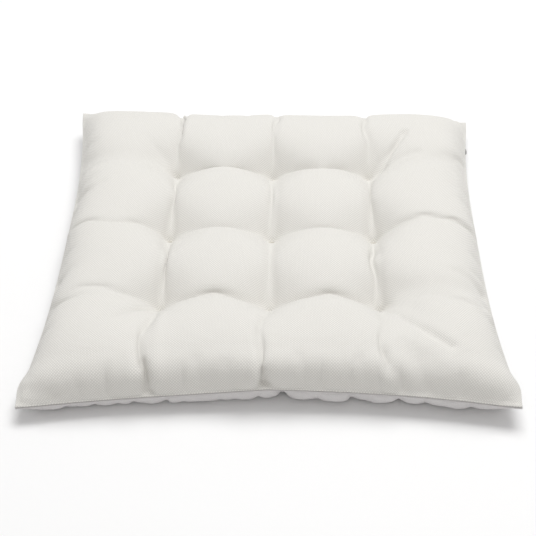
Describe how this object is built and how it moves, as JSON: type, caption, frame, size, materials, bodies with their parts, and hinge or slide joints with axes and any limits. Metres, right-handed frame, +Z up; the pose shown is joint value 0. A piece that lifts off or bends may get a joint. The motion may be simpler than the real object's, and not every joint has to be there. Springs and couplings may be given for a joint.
{
  "type": "chair seat pad",
  "caption": "Square chair seat pad with a knife-edge seam, quilted by a grid of thread tufts through two woven panels and a fibre filling.",
  "frame": {"origin": "on the floor, under the middle of the pad", "axes": "+Z up through the pad's thickness, -Y towards the front edge, +X towards the side that holds the label"},
  "size_m": [0.43, 0.43, 0.052],
  "materials": {
    "cover_fabric": "woven, matt off-white",
    "base_fabric": "plain fine weave, matt off-white",
    "wadding": "soft white fibre",
    "core_fibre": "soft white fibre",
    "thread": "twisted polyester, satin",
    "label_tape": "woven, matt black"
  },
  "bodies": {
    "root": {"top_panel": "cover_fabric", "bottom_panel": "base_fabric", "upper_wadding": "wadding", "fibre_core": "core_fibre", "lower_wadding": "wadding", "machine_seam_thread": "thread", "closing_seam_thread": "thread", "tuft_row1_col1": "thread", "tuft_row1_col2": "thread", "tuft_row1_col3": "thread", "tuft_row2_col1": "thread", "tuft_row2_col2": "thread", "tuft_row2_col3": "thread", "tuft_row3_col1": "thread", "tuft_row3_col2": "thread", "tuft_row3_col3": "thread", "side_label": "label_tape"}
  },
  "joints": []
}
